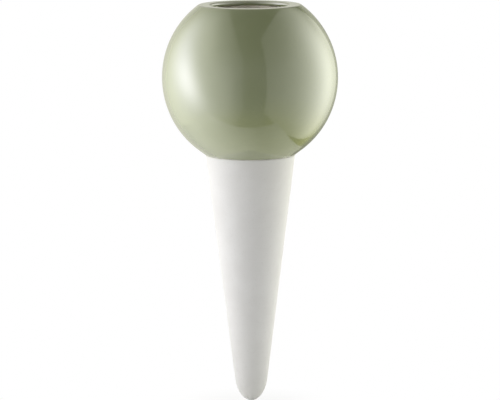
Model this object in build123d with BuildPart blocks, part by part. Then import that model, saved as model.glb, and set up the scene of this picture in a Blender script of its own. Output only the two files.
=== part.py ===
from build123d import *
from math import acos, asin, atan2, cos, degrees, hypot, radians, sin, sqrt
import os

# A self watering spike: a glazed globe that holds water, cemented onto a hollow porous clay spike.
# All sizes in millimetres. The origin is on the axis where the globe meets the spike, which is the
# level of the soil, and +Z points up out of the mouth.

# Globe: a slip-cast shell, a little taller than it is wide, with its top sliced off flat
globe_radius = 53.0
globe_half_height = 54.0
globe_wall = 5.0
rim_radius = 30.8        # where the flat rim cuts the globe, before its edge is rounded
rim_round = 1.2          # sponged outer edge of the rim
mouth_radius = 23.6      # opening trimmed through the rim
lip_height = 2.4         # straight wall of the opening, below the rim
lip_round = 0.6          # sponged inner edge of the rim
foot_radius = 26.9       # the globe's flat foot, and the top of the spike below it
foot_flare = 0.55        # how far the foot stands outside the globe's own curve
foot_round = 0.5
edge_share = 0.4         # most of the rim or lip that one rounded edge may take up
floor_thickness = 5.0
floor_corner = 8.0       # radius inside, where the wall runs into the floor

# Spigot and socket: the spike's short neck stands in a hole in the globe's floor
spigot_radius = 14.0
spigot_rise = 3.0        # how far the spigot stands above the globe's floor
spigot_chamfer = 0.8     # lead-in that helps the globe down over the spigot
throat_radius = 9.5      # way for the water, through the spigot and the shoulder
throat_round = 0.6

# Cement between the two castings
bed_thickness = 0.4      # between the shoulder and the foot
bed_setback = 0.5        # the bed stops short of the outer edge
collar_gap = 0.5         # round the spigot
bead_width = 2.2         # fillet that squeezes out on the globe's floor
bead_hollow = 0.5        # how far that fillet is drawn in

# Spike: a drain-cast cone with a rounded nose
spike_length = 150.0     # from the shoulder to the point
spike_wall = 5.0
nose_half_width = 10.0
nose_length = 17.0
nose_wall = 7.0          # clay at the very point
shoulder_thickness = 6.0
shoulder_round = 0.4
hollow_corner = 4.0      # radius inside, under the shoulder

# Heights and radii that follow from those sizes
centre_z = globe_half_height * sqrt(1 - ((foot_radius - foot_flare) / globe_radius) ** 2)
rim_z = centre_z + globe_half_height * sqrt(1 - (rim_radius / globe_radius) ** 2)
inner_radius = globe_radius - globe_wall
socket_radius = spigot_radius + collar_gap
shoulder_z = -bed_thickness
point_z = shoulder_z - spike_length
spigot_top_z = floor_thickness + spigot_rise
bead_height = spigot_rise - spigot_chamfer

os.makedirs("parts", exist_ok=True)


def corner(sketch, x, z):
    """The corner of a profile that lies nearest to a place on it."""
    return sketch.vertices().sort_by_distance((x, z))[0]


def tangent_angle(half_width, half_height, x, z):
    """Angle on an ellipse about the origin where a line from an outside point touches its near side."""
    bearing = atan2(z / half_height, x / half_width)
    turn = acos(1 / hypot(x / half_width, z / half_height))
    return degrees(min(bearing - turn, bearing + turn, key=abs))


def angle_before_flat(half_width, half_height, flat, radius):
    """Angle on an ellipse where an edge of that radius starts to turn onto a flat across it."""
    crossing = asin(flat / half_height)
    slope = atan2(half_height * cos(crossing), half_width * abs(sin(crossing)))
    turn_height = radius * (1 - cos(slope))
    return degrees(asin((flat - turn_height * flat / abs(flat)) / half_height))


def turn_onto_flat(curve, flat_z):
    """Arc that leaves the end of a curve along its tangent and runs out flat, towards the axis."""
    end = curve @ 1
    direction = curve % 1
    reach = (flat_z - end.Y) / direction.Y
    return TangentArc(end, (end.X + reach * direction.X - reach, flat_z), tangent=direction)


# Globe: the outer curve rises from the foot, straight along its own tangent, round the belly to the
# rim. Inside, one ellipse falls from the lip to the belly and one from the belly to the floor.
foot_angle = tangent_angle(globe_radius, globe_half_height, foot_radius, -centre_z)
rim_edge = min(rim_round, edge_share * (rim_radius - mouth_radius))
rim_angle = angle_before_flat(globe_radius, globe_half_height, rim_z - centre_z, rim_edge)

lip_angle = degrees(acos(mouth_radius / inner_radius))
upper_inner_height = (rim_z - lip_height - centre_z) / sin(radians(lip_angle))
lower_inner_height = globe_half_height - globe_wall
floor_angle = angle_before_flat(inner_radius, lower_inner_height, floor_thickness - centre_z, floor_corner)

with BuildPart() as globe:
    with BuildSketch(Plane.XZ) as shell:
        with BuildLine():
            centre = (0, centre_z)
            belly = EllipticalCenterArc(
                centre, globe_radius, globe_half_height, foot_angle, arc_size=rim_angle - foot_angle
            )
            upper_inside = EllipticalCenterArc(
                centre, inner_radius, upper_inner_height, lip_angle, arc_size=-lip_angle
            )
            lower_inside = EllipticalCenterArc(
                centre, inner_radius, lower_inner_height, arc_size=floor_angle
            )
            rim_turn = turn_onto_flat(belly, rim_z)
            floor_turn = turn_onto_flat(lower_inside, floor_thickness)
            Polyline(rim_turn @ 1, (mouth_radius, rim_z), upper_inside @ 0)
            Polyline(
                floor_turn @ 1,
                (socket_radius, floor_thickness),
                (socket_radius, 0),
                (foot_radius, 0),
                belly @ 0,
            )
        make_face()
        fillet(corner(shell, mouth_radius, rim_z), min(lip_round, edge_share * lip_height))
        fillet(corner(shell, foot_radius, 0), foot_round)
    revolve(axis=Axis.Z)
globe.part.label = "globe"
export_step(globe.part, "parts/globe.step")


def spike_side(top_radius, top_z, end_z, half_width, length):
    """Half an outline of the spike: an elliptical nose, then a straight side up to the top."""
    nose_z = end_z + length
    side_angle = tangent_angle(half_width, length, top_radius, top_z - nose_z)
    nose = EllipticalCenterArc((0, nose_z), half_width, length, -90, arc_size=90 + side_angle)
    Line(nose @ 1, (top_radius, top_z))


# Spike: the hollow that is left when the slip is drained follows the outside one wall thickness in,
# closed at the point and necked at the shoulder, which carries the spigot with its throat.
hollow_top_z = shoulder_z - shoulder_thickness
mean_taper = (foot_radius - nose_half_width) / (spike_length - nose_length)
hollow_top_radius = foot_radius - mean_taper * shoulder_thickness - spike_wall
hollow_end_z = point_z + nose_wall
hollow_nose_width = nose_half_width - spike_wall
hollow_nose_length = nose_length - spike_wall

with BuildPart() as spike:
    with BuildSketch(Plane.XZ) as casting:
        with BuildLine():
            spike_side(foot_radius, shoulder_z, point_z, nose_half_width, nose_length)
            spike_side(hollow_top_radius, hollow_top_z, hollow_end_z, hollow_nose_width, hollow_nose_length)
            Polyline(
                (foot_radius, shoulder_z),
                (spigot_radius, shoulder_z),
                (spigot_radius, spigot_top_z),
                (throat_radius, spigot_top_z),
                (throat_radius, hollow_top_z),
                (hollow_top_radius, hollow_top_z),
            )
            Line((0, hollow_end_z), (0, point_z))
        make_face()
        fillet(corner(casting, foot_radius, shoulder_z), shoulder_round)
        chamfer(corner(casting, spigot_radius, spigot_top_z), spigot_chamfer)
        fillet(corner(casting, throat_radius, spigot_top_z), throat_round)
        fillet(corner(casting, hollow_top_radius, hollow_top_z), hollow_corner)
    revolve(axis=Axis.Z)
spike.part.label = "spike"
export_step(spike.part, "parts/spike.step")

# Bond ring: the bed on the shoulder, the collar that fills the socket round the spigot, and the
# fillet that squeezed out on the globe's floor and was wiped hollow.
with BuildPart() as bond_ring:
    with BuildSketch(Plane.XZ):
        with BuildLine():
            Polyline(
                (spigot_radius, floor_thickness + bead_height),
                (spigot_radius, shoulder_z),
                (foot_radius - bed_setback, shoulder_z),
                (foot_radius - bed_setback, 0),
                (socket_radius, 0),
                (socket_radius, floor_thickness),
                (socket_radius + bead_width, floor_thickness),
            )
            SagittaArc(
                (socket_radius + bead_width, floor_thickness),
                (spigot_radius, floor_thickness + bead_height),
                bead_hollow,
            )
        make_face()
    revolve(axis=Axis.Z)
bond_ring.part.label = "bond_ring"
export_step(bond_ring.part, "parts/bond_ring.step")
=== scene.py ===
import math

import bmesh
import bpy
from mathutils import Matrix, Vector


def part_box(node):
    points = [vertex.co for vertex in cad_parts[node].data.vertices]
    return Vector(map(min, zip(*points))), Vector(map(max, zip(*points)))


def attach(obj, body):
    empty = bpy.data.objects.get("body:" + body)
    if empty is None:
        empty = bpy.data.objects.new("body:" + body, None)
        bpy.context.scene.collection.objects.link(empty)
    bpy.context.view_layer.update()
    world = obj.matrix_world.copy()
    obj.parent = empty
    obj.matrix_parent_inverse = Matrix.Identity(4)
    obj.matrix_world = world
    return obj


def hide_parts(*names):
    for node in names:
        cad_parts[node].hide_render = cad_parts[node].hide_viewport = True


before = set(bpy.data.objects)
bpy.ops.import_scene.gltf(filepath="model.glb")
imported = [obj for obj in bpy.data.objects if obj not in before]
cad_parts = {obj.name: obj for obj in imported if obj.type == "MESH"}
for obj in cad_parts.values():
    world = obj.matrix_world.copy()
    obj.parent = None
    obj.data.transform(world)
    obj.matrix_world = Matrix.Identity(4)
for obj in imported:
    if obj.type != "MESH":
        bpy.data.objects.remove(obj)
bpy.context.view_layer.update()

# Globe: the reservoir, slip-cast in white stoneware a little taller than it is wide and sliced off
# flat for the mouth. It is dipped in a glossy sage glaze, which thins to a paler line on the sponged
# edges of the rim and gathers above the foot. Its floor has a round socket for the spike's neck.
MM = 0.001
globe_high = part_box("globe")[1]
globe_radius = globe_high[0] / MM
rim_z = globe_high[2] / MM
globe_half_height = 54.0
globe_wall = 5.0
rim_radius = 30.8
rim_turn = 0.42          # height in which the belly turns onto the flat rim
mouth_radius = 23.6
lip_height = 2.4
lip_softness = 1.8
foot_radius = 26.9
foot_flare = 0.55
foot_softness = 0.3
floor_z = 5.0
floor_turn = 2.2         # height in which the wall turns onto the floor
socket_radius = 14.5
socket_softness = 0.3
centre_z = globe_half_height * math.sqrt(1 - ((foot_radius - foot_flare) / globe_radius) ** 2)


def straight(start, end, steps):
    """Points on a straight stretch of an outline, each one the distance from the axis and the height."""
    share = [step / steps for step in range(steps + 1)]
    return [(start[0] + s * (end[0] - start[0]), start[1] + s * (end[1] - start[1])) for s in share]


def oval(half_width, half_height, middle, start, end, steps):
    """Points on an upright oval about the axis, between two angles up from its widest place."""
    turns = [math.radians(start + (end - start) * step / steps) for step in range(steps + 1)]
    return [(half_width * math.cos(a), middle + half_height * math.sin(a)) for a in turns]


def touch_angle(half_width, half_height, out, up):
    """Angle on an oval where a line from a point outside it, measured from its middle, touches it."""
    bearing = math.atan2(up / half_height, out / half_width)
    turn = math.acos(1 / math.hypot(up / half_height, out / half_width))
    return math.degrees(min(bearing - turn, bearing + turn, key=abs))


def bend(start, corner, end, steps=8):
    """Points on a soft bend that leaves start towards a corner and comes into end from that corner."""
    points = []
    for step in range(steps + 1):
        t = step / steps
        weights = ((1 - t) ** 2, 2 * t * (1 - t), t ** 2)
        points.append(tuple(sum(w * p[k] for w, p in zip(weights, (start, corner, end))) for k in (0, 1)))
    return points


def toward(start, end, distance):
    """The point at a distance from start on the way to end."""
    share = distance / math.hypot(end[0] - start[0], end[1] - start[1])
    return (start[0] + share * (end[0] - start[0]), start[1] + share * (end[1] - start[1]))


def rounded(before, corner, after, softness, steps=8):
    """A soft bend round a corner between two other points, from one softness ahead of it to one past it."""
    return bend(toward(corner, before, softness), corner, toward(corner, after, softness), steps)


def onto_flat(line, flat, steps=10):
    """A soft bend from the end of a line, along its own direction, onto a flat towards the axis."""
    end = line[-1]
    back = line[-2]
    reach = (flat - end[1]) / (end[1] - back[1])
    corner = (end[0] + reach * (end[0] - back[0]), flat)
    return bend(end, corner, (corner[0] - math.dist(end, corner), flat), steps)


def outline(*stretches):
    """One line out of several stretches, with the points that two of them share kept once."""
    points = [stretches[0][0]]
    for stretch in stretches:
        for point in stretch:
            if math.dist(point, points[-1]) > 1e-4:
                points.append(point)
    return points


class Wire:
    """An output of a node. Sums and products of wires and numbers add Math nodes."""

    def __init__(self, socket):
        self.socket = socket
        self.tree = socket.id_data

    @staticmethod
    def node(tree, kind, settings=None, sockets=None, output=0):
        """Adds a node of that kind, with its settings first, and gives one of its outputs."""
        made = tree.nodes.new(kind)
        for name, value in (settings or {}).items():
            setattr(made, name, value)
        for name, value in (sockets or {}).items():
            found = [s for s in made.inputs if name in (s.identifier, s.name)]
            socket = made.inputs[name] if isinstance(name, int) else found[0]
            if isinstance(value, Wire):
                tree.links.new(value.socket, socket)
            else:
                socket.default_value = value
        if not made.outputs:
            return made
        found = [s for s in made.outputs if output in (s.identifier, s.name)]
        return Wire(made.outputs[output] if isinstance(output, int) else found[0])

    def out(self, name):
        """Another output of the same node."""
        return Wire(self.socket.node.outputs[name])

    def math(self, operation, first, second=0.0):
        """The result of a Math node with that operation."""
        return Wire.node(self.tree, "ShaderNodeMath", {"operation": operation}, {0: first, 1: second})

    def __add__(self, other):
        return self.math("ADD", self, other)

    def __radd__(self, other):
        return self.math("ADD", other, self)

    def __sub__(self, other):
        return self.math("SUBTRACT", self, other)

    def __rsub__(self, other):
        return self.math("SUBTRACT", other, self)

    def __mul__(self, other):
        return self.math("MULTIPLY", self, other)

    def __rmul__(self, other):
        return self.math("MULTIPLY", other, self)

    def __truediv__(self, other):
        return self.math("DIVIDE", self, other)

    def __rtruediv__(self, other):
        return self.math("DIVIDE", other, self)

    def __pow__(self, other):
        return self.math("POWER", self, other)

    def ease(self, low, high):
        """0 below low, 1 above high, and a smooth rise between them."""
        return Wire.node(
            self.tree,
            "ShaderNodeMapRange",
            {"interpolation_type": "SMOOTHSTEP"},
            {"Value": self, "From Min": low, "From Max": high},
        )


def parts_of(vector):
    """The X, Y and Z of a vector."""
    x = Wire.node(vector.tree, "ShaderNodeSeparateXYZ", {}, {"Vector": vector}, "X")
    return x, x.out("Y"), x.out("Z")


def vector_of(x, y, z):
    """A vector, or a colour, out of three wires."""
    return Wire.node(x.tree, "ShaderNodeCombineXYZ", {}, {"X": x, "Y": y, "Z": z})


def turning_tree():
    """Geometry Nodes that turn an outline about the axis, with the slight waver of a hand-finished wall."""
    tree = bpy.data.node_groups.new("turned_piece", "GeometryNodeTree")
    inputs = {
        "Outline": "NodeSocketGeometry",
        "Points": "NodeSocketInt",
        "Sides": "NodeSocketInt",
        "Waver": "NodeSocketFloat",
        "Waver Size": "NodeSocketFloat",
        "Still Height": "NodeSocketFloat",
        "Seed": "NodeSocketFloat",
        "Finish": "NodeSocketMaterial",
    }
    for name, kind in inputs.items():
        tree.interface.new_socket(name, in_out="INPUT", socket_type=kind)
    tree.interface.new_socket("Piece", in_out="OUTPUT", socket_type="NodeSocketGeometry")

    # A flat grid with one column for each point of the outline and one row for each side
    given = Wire.node(tree, "NodeGroupInput")
    points = given.out("Points")
    sheet = Wire.node(
        tree,
        "GeometryNodeMeshGrid",
        {},
        {"Size X": 1.0, "Size Y": 1.0, "Vertices X": points, "Vertices Y": given.out("Sides") + 1},
    )
    place = Wire.node(tree, "GeometryNodeInputPosition")
    across, around, _ = parts_of(place)
    step = Wire.node(
        tree, "FunctionNodeFloatToInt", {"rounding_mode": "ROUND"}, {"Float": (across + 0.5) * (points - 1)}
    )
    picked = Wire.node(
        tree,
        "GeometryNodeSampleIndex",
        {"data_type": "FLOAT_VECTOR", "domain": "POINT", "clamp": True},
        {"Geometry": given.out("Outline"), "Value": place, "Index": step},
    )
    radius, _, height = parts_of(picked)
    angle = (around + 0.5) * math.tau
    cosine = angle.math("COSINE", angle)
    sine = angle.math("SINE", angle)

    # The wall wavers where it is free, and not at the joint or on the axis
    noise = Wire.node(
        tree,
        "ShaderNodeTexNoise",
        {"noise_dimensions": "4D"},
        {
            "Vector": vector_of(radius * cosine, radius * sine, height),
            "W": given.out("Seed"),
            "Scale": 1 / given.out("Waver Size"),
            "Detail": 1.0,
        },
    )
    still = given.out("Still Height")
    free = height.math("ABSOLUTE", height).ease(still, still * 4)
    off_axis = radius.ease(0.0, 6 * MM)
    pushed = radius + (noise - 0.5) * 2 * given.out("Waver") * free * off_axis
    turned = vector_of(pushed * cosine, pushed * sine, height)

    wall = Wire.node(tree, "GeometryNodeSetPosition", {}, {"Geometry": sheet, "Position": turned})
    closed = Wire.node(tree, "GeometryNodeMergeByDistance", {}, {"Geometry": wall, "Distance": 0.001 * MM})
    smooth = Wire.node(tree, "GeometryNodeSetShadeSmooth", {}, {"Geometry": closed})
    real = Wire.node(tree, "GeometryNodeRealizeInstances", {}, {"Geometry": smooth})
    finished = Wire.node(
        tree, "GeometryNodeSetMaterial", {}, {"Geometry": real, "Material": given.out("Finish")}
    )
    Wire.node(tree, "NodeGroupOutput", {}, {"Piece": finished})
    return tree


turning = turning_tree()


def turned_piece(name, line, finish, sides, waver, waver_size, still_height, seed):
    """A piece turned from an outline in millimetres, as a plain closed mesh with its faces outwards."""
    line_mesh = bpy.data.meshes.new(name + "_outline")
    corners = [(x * MM, 0.0, z * MM) for x, z in line]
    line_mesh.from_pydata(corners, [(k, k + 1) for k in range(len(corners) - 1)], [])
    piece = bpy.data.objects.new(name, line_mesh)
    bpy.context.scene.collection.objects.link(piece)

    modifier = piece.modifiers.new("turning", "NODES")
    modifier.node_group = turning
    sizes = {
        "Points": len(corners),
        "Sides": sides,
        "Waver": waver * MM,
        "Waver Size": waver_size * MM,
        "Still Height": still_height * MM,
        "Seed": seed,
        "Finish": finish,
    }
    for item in turning.interface.items_tree:
        if item.name in sizes:
            modifier[item.identifier] = sizes[item.name]

    seen = piece.evaluated_get(bpy.context.evaluated_depsgraph_get())
    wall = bpy.data.meshes.new_from_object(seen)
    piece.modifiers.remove(modifier)
    piece.data = wall
    wall.name = name

    edit = bmesh.new()
    edit.from_mesh(wall)
    bmesh.ops.recalc_face_normals(edit, faces=edit.faces)
    edit.to_mesh(wall)
    edit.free()
    return piece


def finish_of(name):
    """A new material, with its shader node and the piece's own coordinates in metres."""
    material = bpy.data.materials.new(name)
    material.use_nodes = True
    shader = material.node_tree.nodes["Principled BSDF"]
    place = Wire.node(material.node_tree, "ShaderNodeTexCoord", {}, {}, "Object")
    return material, shader, place


def feed(shader, name, wire):
    """Links a wire to one of the shader's sockets."""
    wire.tree.links.new(wire.socket, shader.inputs[name])


def noise_of(place, size, detail=3.0, rough=0.5):
    """Soft noise, about 0 to 1, with patches of that size in millimetres."""
    return Wire.node(
        place.tree,
        "ShaderNodeTexNoise",
        {},
        {"Vector": place, "Scale": 1 / (size * MM), "Detail": detail, "Roughness": rough},
    )


def blend_of(share, first, second):
    """A colour between two others, where share is 0 for the first and 1 for the second."""
    return Wire.node(
        share.tree,
        "ShaderNodeMix",
        {"data_type": "RGBA"},
        {"Factor_Float": share, "A_Color": first, "B_Color": second},
        "Result_Color",
    )


def bump_of(height, distance, strength, under=None):
    """A bump of that depth in millimetres, on top of another one if it is given."""
    sockets = {"Height": height, "Distance": distance * MM, "Strength": strength}
    if under is not None:
        sockets["Normal"] = under
    return Wire.node(height.tree, "ShaderNodeBump", {}, sockets)


def length_of(x, y):
    """The length of a line that goes x one way and y square to it."""
    return (x * x + y * y) ** 0.5


def ring_mask(place, radius, height, reach):
    """1 on a ring about the axis, and a smooth fall to 0 at a distance from it, in millimetres."""
    x, y, z = parts_of(place)
    return 1 - length_of(length_of(x, y) - radius * MM, z - height * MM).ease(0.0, reach * MM)


def inside_mask(place):
    """1 on the inner face of the globe's wall and 0 on its outer face."""
    x, y, z = parts_of(place)
    half_width = (globe_radius - 0.5 * globe_wall) * MM
    half_height = (globe_half_height - 0.5 * globe_wall) * MM
    up = (z - centre_z * MM) / half_height
    return 1 - ((x * x + y * y) / half_width ** 2 + up * up).ease(0.98, 1.02)


glaze_colour = (0.294, 0.329, 0.170, 1.0)
glaze_deep = (0.256, 0.289, 0.134, 1.0)
glaze_thin = (0.47, 0.47, 0.35, 1.0)
liner_colour = (0.70, 0.66, 0.56, 1.0)
glaze_ior = 1.82
cloud_size = 26.0
drift_size = 7.0
swell_size = 14.0
peel_size = 2.6
gather_low = 0.3         # the glaze is deepest at the foot and has its plain depth above gather_high
gather_high = 7.0
liner_low = 3.4          # the sage glaze runs over the lip and ends between these depths below the rim
liner_high = 2.2
rim_line_inset = 0.7     # the paler lines lie this far in from the rim's outer radius and lip's corner
lip_line_inset = 0.2

glaze, glaze_shader, glaze_place = finish_of("sage_glaze")
glaze_shader.inputs["IOR"].default_value = glaze_ior
glaze_shader.inputs["Coat Weight"].default_value = 1.0
glaze_shader.inputs["Coat IOR"].default_value = glaze_ior
glaze_shader.inputs["Coat Roughness"].default_value = 0.06

clouds = noise_of(glaze_place, cloud_size, detail=2.0)
drift = noise_of(glaze_place, drift_size)
glaze_height = parts_of(glaze_place)[2]
gathered = 1 - glaze_height.ease(gather_low * MM, gather_high * MM)
depth = clouds.ease(0.35, 0.75) * 0.35 + drift.ease(0.4, 0.8) * 0.12 + gathered * 0.30
sage = blend_of(depth, glaze_colour, glaze_deep)
outer_edge = ring_mask(glaze_place, rim_radius - rim_line_inset, rim_z, reach=2.0)
inner_edge = ring_mask(glaze_place, mouth_radius + lip_line_inset, rim_z - lip_line_inset, reach=1.6)
thin = outer_edge.math("MAXIMUM", outer_edge, inner_edge) * (0.55 + 0.45 * drift)
below_lip = 1 - glaze_height.ease((rim_z - liner_low) * MM, (rim_z - liner_high) * MM)
liner = inside_mask(glaze_place) * below_lip
feed(glaze_shader, "Base Color", blend_of(liner, blend_of(thin, sage, glaze_thin), liner_colour))
feed(glaze_shader, "Roughness", 0.10 + 0.06 * drift + 0.10 * thin)
peel = noise_of(glaze_place, peel_size, detail=1.0)
swell = noise_of(glaze_place, swell_size, detail=1.0)
feed(glaze_shader, "Normal", bump_of(peel, 0.012, 0.5, under=bump_of(swell, 0.05, 0.6)))

foot_angle = touch_angle(globe_radius, globe_half_height, foot_radius, -centre_z)
rim_angle = math.degrees(math.asin((rim_z - centre_z - rim_turn) / globe_half_height))
inner_radius = globe_radius - globe_wall
lip_angle = math.degrees(math.acos(mouth_radius / inner_radius))
upper_inner_height = (rim_z - lip_height - centre_z) / math.sin(math.radians(lip_angle))
lower_inner_height = globe_half_height - globe_wall
floor_angle = -math.degrees(math.asin((centre_z - floor_z - floor_turn) / lower_inner_height))

belly = oval(globe_radius, globe_half_height, centre_z, foot_angle, rim_angle, 110)
upper_inside = oval(inner_radius, upper_inner_height, centre_z, lip_angle, 0.0, 44)
lower_inside = oval(inner_radius, lower_inner_height, centre_z, 0.0, floor_angle, 44)

foot_edge = (foot_radius, 0.0)
lip_edge = (mouth_radius, rim_z)
lip_foot = upper_inside[0]
socket_top = (socket_radius, floor_z)
socket_foot = (socket_radius, 0.0)
foot_bend = rounded(socket_foot, foot_edge, belly[0], foot_softness)
rim_bend = onto_flat(belly, rim_z)
lip_bend = rounded(rim_bend[-1], lip_edge, lip_foot, lip_softness)
floor_bend = onto_flat(lower_inside, floor_z)
socket_top_bend = rounded(floor_bend[-1], socket_top, socket_foot, socket_softness, 4)
socket_foot_bend = rounded(socket_top, socket_foot, foot_edge, socket_softness, 4)
globe_line = outline(
    foot_bend,
    straight(foot_bend[-1], belly[0], 5),
    belly,
    rim_bend,
    straight(rim_bend[-1], lip_bend[0], 6),
    lip_bend,
    straight(lip_bend[-1], lip_foot, 3),
    upper_inside,
    lower_inside,
    floor_bend,
    straight(floor_bend[-1], socket_top_bend[0], 8),
    socket_top_bend,
    straight(socket_top_bend[-1], socket_foot_bend[0], 4),
    socket_foot_bend,
    straight(socket_foot_bend[-1], foot_bend[0], 8),
)
globe = turned_piece(
    "globe_shell", globe_line, glaze, sides=256, waver=0.10, waver_size=46.0, still_height=4.0, seed=2.0
)
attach(globe, "root")
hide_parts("globe")

# Spike: the part that goes into the soil, drain-cast in a plaster mould from the same white body and
# fired without glaze, so that it stays porous and matte. A hollow neck on its flat shoulder stands in
# the globe's socket, and the seam and shoulder were wiped with a damp sponge.
spike_low, spike_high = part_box("spike")
shoulder_z = -0.4
shoulder_thickness = 6.0
shoulder_softness = 0.3
point_z = spike_low[2] / MM
spigot_top_z = spike_high[2] / MM
spigot_radius = 14.0
spigot_chamfer = 0.8
spigot_foot_softness = 0.2
throat_radius = 9.5
throat_softness = 0.8
throat_end_softness = 0.6
nose_half_width = 10.0
nose_length = 17.0
nose_wall = 7.0
spike_wall = 5.0
hollow_softness = 4.0
hollow_run_out = 0.5     # short straight step after the rounded corner of the hollow

clay_colour = (0.81, 0.803, 0.776, 1.0)
clay_pale = (0.845, 0.840, 0.816, 1.0)
clay_grain = (0.70, 0.685, 0.645, 1.0)
bloom_size = 18.0
wiped_size = 16.0
wiped_squash = 14.0      # the sponge's marks run round the spike, so they are this much longer than tall
speck_size = 0.9
grit_size = 0.55

clay, clay_shader, clay_place = finish_of("bare_clay")
clay_shader.inputs["IOR"].default_value = 1.45
clay_shader.inputs["Specular IOR Level"].default_value = 0.25

bloom = noise_of(clay_place, bloom_size, detail=4.0, rough=0.6)
grit = noise_of(clay_place, grit_size, detail=2.0, rough=0.6)
speck = noise_of(clay_place, speck_size, detail=0.0)
squashed = Wire.node(
    clay.node_tree, "ShaderNodeMapping", {}, {"Vector": clay_place, "Scale": (1.0, 1.0, wiped_squash)}
)
wiped = noise_of(squashed, wiped_size, detail=4.0, rough=0.6)
soft_tone = blend_of(bloom.ease(0.3, 0.7), clay_colour, clay_pale)
grain = speck.ease(0.68, 0.80) * 0.22 + grit.ease(0.5, 0.8) * 0.08 + wiped.ease(0.5, 0.8) * 0.08
feed(clay_shader, "Base Color", blend_of(grain, soft_tone, clay_grain))
feed(clay_shader, "Roughness", 0.80 + 0.14 * grit)
feed(clay_shader, "Normal", bump_of(grit, 0.05, 0.5, under=bump_of(wiped, 0.04, 0.35)))


def spike_side(top, end_z, half_width, length, side_steps, nose_steps):
    """Half the spike's outline from its end on the axis: a rounded nose and a straight side to the top."""
    middle = end_z + length
    side_angle = touch_angle(half_width, length, top[0], top[1] - middle)
    nose = oval(half_width, length, middle, -90.0, side_angle, nose_steps)
    nose[0] = (0.0, end_z)
    return outline(nose, straight(nose[-1], top, side_steps))


taper = (foot_radius - nose_half_width) / (shoulder_z - point_z - nose_length)
hollow_top_radius = foot_radius - taper * shoulder_thickness - spike_wall
shoulder_edge = (foot_radius, shoulder_z)
neck_foot = (spigot_radius, shoulder_z)
neck_edge = (spigot_radius, spigot_top_z)
throat_top = (throat_radius, spigot_top_z)
throat_end = (throat_radius, shoulder_z - shoulder_thickness)
hollow_top = (hollow_top_radius, shoulder_z - shoulder_thickness)

outside = spike_side(shoulder_edge, point_z, nose_half_width, nose_length, 90, 36)
inside = spike_side(
    hollow_top, point_z + nose_wall, nose_half_width - spike_wall, nose_length - spike_wall, 30, 16
)
shoulder_bend = rounded(outside[-2], shoulder_edge, neck_foot, shoulder_softness)
neck_foot_bend = rounded(shoulder_edge, neck_foot, neck_edge, spigot_foot_softness, 4)
neck_bend = rounded(neck_foot, neck_edge, throat_top, spigot_chamfer)
throat_bend = rounded(neck_edge, throat_top, throat_end, throat_softness)
throat_end_bend = rounded(throat_top, throat_end, hollow_top, throat_end_softness)
hollow_bend = rounded(throat_end, hollow_top, inside[-3], hollow_softness)
run_out = toward(hollow_top, inside[-3], hollow_softness + hollow_run_out)
spike_line = outline(
    outside[:-1],
    shoulder_bend,
    straight(shoulder_bend[-1], neck_foot_bend[0], 8),
    neck_foot_bend,
    straight(neck_foot_bend[-1], neck_bend[0], 6),
    neck_bend,
    straight(neck_bend[-1], throat_bend[0], 4),
    throat_bend,
    straight(throat_bend[-1], throat_end_bend[0], 10),
    throat_end_bend,
    straight(throat_end_bend[-1], hollow_bend[0], 6),
    hollow_bend,
    [run_out],
    inside[-3::-1],
)
spike = turned_piece(
    "spike_casting", spike_line, clay, sides=224, waver=0.10, waver_size=34.0, still_height=4.0, seed=7.0
)
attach(spike, "root")
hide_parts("spike")

# Bond ring: the waterproof ceramic adhesive between the two castings, a thin bed under the foot and a
# collar round the neck. What squeezed out on the globe's floor was wiped to a hollow fillet.
bed_setback = 0.08
bed_bulge = 0.08
bead_width = 2.2
bead_top_z = spigot_top_z - spigot_chamfer
bead_hollow = (0.4, 0.5)  # how far out from the socket and up from the floor the fillet is drawn in to

cement_colour = (0.72, 0.71, 0.65, 1.0)
cement_dull = (0.62, 0.61, 0.55, 1.0)
cement_patch_size = 3.0
cement_grit_size = 0.4

cement, cement_shader, cement_place = finish_of("ceramic_adhesive")
cement_tone = noise_of(cement_place, cement_patch_size, detail=4.0, rough=0.6)
cement_grit = noise_of(cement_place, cement_grit_size, detail=2.0)
feed(cement_shader, "Base Color", blend_of(cement_tone.ease(0.3, 0.75), cement_colour, cement_dull))
feed(cement_shader, "Roughness", 0.55 + 0.25 * cement_tone)
feed(cement_shader, "Normal", bump_of(cement_grit, 0.06, 0.6, under=bump_of(cement_tone, 0.2, 0.5)))

bed_edge = foot_radius - bed_setback
bed_low = (bed_edge, shoulder_z)
bed_middle = (bed_edge + bed_bulge, 0.5 * shoulder_z)
bed_high = (bed_edge, 0.0)
bead_out = (socket_radius + bead_width, floor_z)
bead_drawn = (socket_radius + bead_hollow[0], floor_z + bead_hollow[1])
bead_top = (spigot_radius, bead_top_z)
cement_line = outline(
    straight(neck_foot, bed_low, 8),
    bend(bed_low, bed_middle, bed_high, 6),
    straight(bed_high, socket_foot, 8),
    straight(socket_foot, socket_top, 6),
    straight(socket_top, bead_out, 3),
    bend(bead_out, bead_drawn, bead_top, 10),
    straight(bead_top, neck_foot, 8),
)
cement_ring = turned_piece(
    "cement_ring", cement_line, cement, sides=192, waver=0.0, waver_size=9.0, still_height=5.0, seed=11.0
)
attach(cement_ring, "root")
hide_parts("bond_ring")

# Table: a small board covered with matte white paper, under the tip of the spike. To the viewer it is
# plain white with a faint shadow round the tip. Mirrored in the glaze it shows painted light: a painted
# pool of light on the left, under the large softbox, a painted even light that is brighter towards the
# right edge, painted shade along its front edge and a painted cream tint on the right. To diffuse rays
# it glows white as painted bounce light, except round the tip. Its sizes are in metres.
table_low = Vector((-0.25, -0.14))
table_high = Vector((0.130, 0.28))
table_z = point_z * MM
table_corners = [
    (table_low.x, table_low.y, table_z),
    (table_high.x, table_low.y, table_z),
    (table_high.x, table_high.y, table_z),
    (table_low.x, table_high.y, table_z),
]
table_mesh = bpy.data.meshes.new("table")
table_mesh.from_pydata(table_corners, [], [(0, 1, 2, 3)])
table = bpy.data.objects.new("table", table_mesh)
bpy.context.scene.collection.objects.link(table)

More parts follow.
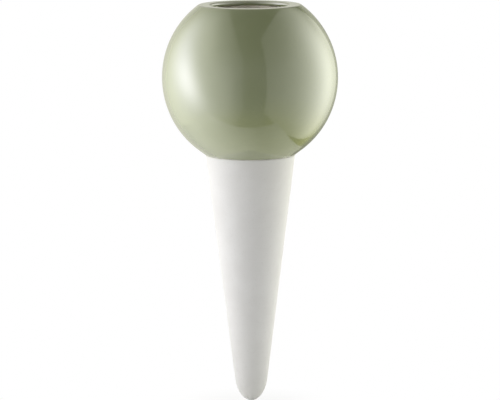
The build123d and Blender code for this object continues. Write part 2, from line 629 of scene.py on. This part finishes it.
paper, paper_shader, paper_place = finish_of("white_paper")
paper_shader.inputs["Base Color"].default_value = (0.80, 0.80, 0.79, 1.0)
paper_shader.inputs["Roughness"].default_value = 0.9
paper_shader.inputs["Specular IOR Level"].default_value = 0.1
rays = Wire.node(paper.node_tree, "ShaderNodeLightPath", {}, {}, "Is Camera Ray")
mirrored = rays.out("Is Glossy Ray")
paper_x, paper_y, _ = parts_of(paper_place)
from_tip = length_of(paper_x, paper_y)

# Painted light seen only in the glaze: a painted pool of light under the left softbox, painted even light,
# painted shade at the front edge and a painted cream tint
near_lamp = 1 - paper_x.ease(-0.22, 0.12)
far_left = 1 - paper_x.ease(-0.25, -0.16)
right_edge = paper_x.ease(0.02, 0.12)
painted_front_shade_mask = (1 - paper_y.ease(-0.14, -0.03)) * paper_x.ease(-0.2, -0.05)
painted_lamp_pool = (1.05 * near_lamp + 0.20 * far_left) * (1 - 0.5 * paper_y.ease(0.0, 0.22))
painted_even_light = (0.38 + 0.30 * right_edge) * (1 - 0.4 * paper_y.ease(0.0, 0.45))
painted_shine = (painted_even_light + painted_lamp_pool) * (1 - 0.25 * painted_front_shade_mask)
white_level = (1 - mirrored) + mirrored * painted_shine
cream_level = white_level * (1 - (0.17 - 0.10 * near_lamp) * mirrored)
white_colour = vector_of(white_level, white_level, cream_level)
white = Wire.node(paper.node_tree, "ShaderNodeEmission", {}, {"Color": white_colour, "Strength": 1.0})

shadow_left = 0.88 + 0.12 * from_tip.ease(0.008, 0.05)
# Painted bounce light: the table glows white like a lamp for diffuse rays, except round the tip
painted_bounce_glow = 0.8 * from_tip.ease(0.03, 0.15) * rays.out("Is Diffuse Ray")
shown = Wire.node(
    paper.node_tree,
    "ShaderNodeMixShader",
    {},
    {"Fac": rays * shadow_left + mirrored + painted_bounce_glow, 1: Wire(paper_shader.outputs[0]), 2: white},
)
paper.node_tree.links.new(shown.socket, paper.node_tree.nodes["Material Output"].inputs["Surface"])
table_mesh.materials.append(paper)

# Surround: a room that is plain white to the viewer. As light and in the glaze it is dim in front and
# overhead and brighter behind the object, cooler in front and warmer behind and below.
front_level = 0.15
back_level = 0.62
world = bpy.data.worlds.new("white_surround")
bpy.context.scene.world = world
world.use_nodes = True
room = world.node_tree
right, away, up = parts_of(Wire.node(room, "ShaderNodeTexCoord", {}, {}, "Generated"))
seen = Wire.node(room, "ShaderNodeLightPath", {}, {}, "Is Camera Ray")

behind = away.ease(-0.1, 0.8)
overhead = up.ease(0.1, 0.8)
downward = 1 - up.ease(-0.4, -0.1)
left_side = 1 - right.ease(-0.5, -0.1)
right_side = right.ease(0.0, 0.2) * (1 - 0.85 * right.ease(0.22, 0.5) * up.ease(-0.9, -0.5))
high_right = right.ease(0.06, 0.2) * up.ease(0.24, 0.50) * away.ease(0.5, 0.8)
low_right = right.ease(0.2, 0.4) * (1 - up.ease(-0.5, -0.3))
front_left = 1 - right.ease(-0.35, 0.05)
low = 1 - up.ease(-0.85, -0.4)

bright = back_level * (1 - 0.25 * left_side - right_side * (0.35 + 0.30 * downward))
dim = front_level + 0.11 * front_left + 0.10 * low
room_level = (dim + (bright - dim) * behind) * (1 - 0.6 * overhead)
ray_gain = 1 + 0.2 * seen.out("Is Diffuse Ray") - 0.85 * high_right * seen.out("Is Glossy Ray")
fill = room_level * ray_gain
coolness = 1.16 - 0.30 * behind - 0.22 * low_right - 0.45 * low
plain_level = seen + (1 - seen) * fill
blue_level = seen + (1 - seen) * fill * coolness
room_colour = vector_of(plain_level, plain_level, blue_level)
room.links.new(room_colour.socket, room.nodes["Background"].inputs["Color"])

# Lamps: a very large softbox on the left with a slanted bright core, netted for the bare clay so that
# it doesn't turn plain white, a smaller softbox on the right, and a narrow spot through the mouth onto
# the inner wall. Sizes are in metres, and cloth with a glow of 1 is as bright as the white surround.
left_cloth = (1.0, 1.0, 0.91, 1.0)
left_core = (1.0, 0.985, 1.06, 1.0)
right_cloth = (1.0, 1.0, 0.92, 1.0)
core_slant = math.radians(52.7)
core_across = 0.07
core_up = 0.23
net_share = 0.45         # the net takes up to this share of the glow, from net_start back to net_full
net_start = 0.5
net_full = -0.3


def aimed(place, aim):
    """Stands a lamp at a place, turned towards an aim."""
    turn = (Vector(aim) - Vector(place)).to_track_quat("-Z", "Y")
    return Matrix.Translation(place) @ turn.to_matrix().to_4x4()


def softbox(name, place, aim, width, height, glow, lit=()):
    """A rectangular lamp that lights everything or the lit pieces only, with an uneven glow on its cloth."""
    lamp = bpy.data.lights.new(name, "AREA")
    lamp.shape = "RECTANGLE"
    lamp.size = width
    lamp.size_y = height
    lamp.energy = math.pi * width * height
    lamp.use_nodes = True
    across, up, _ = parts_of(Wire.node(lamp.node_tree, "ShaderNodeNewGeometry", {}, {}, "Parametric"))
    level, tint = glow((across - 0.5) * width, (up - 0.5) * height)
    light = Wire.node(lamp.node_tree, "ShaderNodeEmission", {}, {"Color": tint, "Strength": level})
    lamp.node_tree.links.new(light.socket, lamp.node_tree.nodes["Light Output"].inputs["Surface"])
    box = bpy.data.objects.new(name, lamp)
    bpy.context.scene.collection.objects.link(box)
    box.matrix_world = aimed(place, aim)
    box.visible_camera = False
    if lit:
        box.light_linking.receiver_collection = bpy.data.collections.new(name + "_lit")
    for piece in lit:
        box.light_linking.receiver_collection.objects.link(piece)


def patch(brightness, *spans):
    """Light on a cloth that fades softly from a middle, by a spread, along each span."""
    glow = brightness
    for wire, middle, spread in spans:
        off = (wire - middle) / spread
        glow = glow * wire.math("EXPONENT", 0 - off * off)
    return glow


def left_glow(across, up):
    """A slanted core with a bulb in it and a weaker side, in a wide wash."""
    ahead = across - core_across
    rise = up - core_up
    along = rise * math.sin(core_slant) - ahead * math.cos(core_slant)
    aside = rise * math.cos(core_slant) + ahead * math.sin(core_slant)
    near_core = patch(1.0, (along, 0.0, 0.82), (aside, 0.0, 0.39))
    bulb = patch(1.47, (along, -0.26, 0.34), (aside, 0.04, 0.21))
    side = patch(0.35, (along, 0.30, 0.90), (aside, 0.58, 0.36))
    wash = patch(0.71, (across, 0.20, 1.49), (up, -0.03, 1.82))
    foot = patch(0.43, (across, -0.06, 0.50), (up, -0.46, 0.59))
    front = patch(0.12, (across, 1.55, 0.75), (up, -0.35, 0.80))
    level = bulb + 1.23 * near_core + side + wash + foot + front + 0.10
    return level, blend_of(near_core, left_cloth, left_core)


def netted_glow(across, up):
    """The left cloth behind a net, which takes light from the part that lies further back."""
    level, tint = left_glow(across, up)
    net = 1 - across.ease(net_full, net_start)
    return level * (1 - net_share * net), tint


def right_glow(across, up):
    """An upright core in a wash that lies further back."""
    core = patch(1.44, (across, -0.06, 0.39), (up, -0.255, 0.45))
    foot = patch(0.40, (across, 0.26, 0.32), (up, -0.82, 0.34))
    wash = patch(0.55, (across, 0.40, 0.90), (up, -0.025, 0.79))
    front = patch(0.11, (across, -0.75, 0.45), (up, -0.60, 0.45))
    return core + foot + wash + front + 0.17, right_cloth


for name, glow, lit in (
    ("left_softbox", left_glow, (globe, cement_ring, table)),
    ("left_softbox_netted", netted_glow, (spike,)),
):
    softbox(
        name,
        place=(-0.80, 0.20, -0.05),
        aim=(0.0, 0.20, -0.05),
        width=9.2,
        height=5.10,
        glow=glow,
        lit=lit,
    )
softbox(
    "right_softbox",
    place=(0.573, 0.254, 0.285),
    aim=(-0.412, 0.418, 0.285),
    width=2.445,
    height=2.09,
    glow=right_glow,
)

spot_data = bpy.data.lights.new("mouth_spot", "SPOT")
spot_data.energy = 20.0
spot_data.spot_size = math.radians(2.4)
spot_data.spot_blend = 1.0
spot_data.shadow_soft_size = 0.004
spot = bpy.data.objects.new("mouth_spot", spot_data)
bpy.context.scene.collection.objects.link(spot)
spot.matrix_world = aimed(place=(-0.022, -0.295, 0.299), aim=(0.003, 0.047, 0.056))
spot.visible_camera = False

# Camera: a long lens, 2.6 metres from the object and a little above its mouth. It looks slightly
# down and has the photograph's small roll.
camera_place = (-0.32 * MM, -2600.0 * MM, 327.2 * MM)
camera_tilt = math.radians(7.774)
camera_roll = math.radians(-0.236)
lens_pixels = 4342.5
image_width = 500.0
camera_data = bpy.data.cameras.new("camera")
camera_data.sensor_fit = "HORIZONTAL"
camera_data.sensor_width = 36.0
camera_data.lens = lens_pixels / image_width * camera_data.sensor_width
camera_data.clip_end = 100.0
camera = bpy.data.objects.new("camera", camera_data)
bpy.context.scene.collection.objects.link(camera)
camera.matrix_world = (
    Matrix.Translation(camera_place)
    @ Matrix.Rotation(math.pi / 2 - camera_tilt, 4, "X")
    @ Matrix.Rotation(camera_roll, 4, "Z")
)
bpy.context.scene.camera = camera
bpy.context.scene.view_settings.view_transform = "Standard"
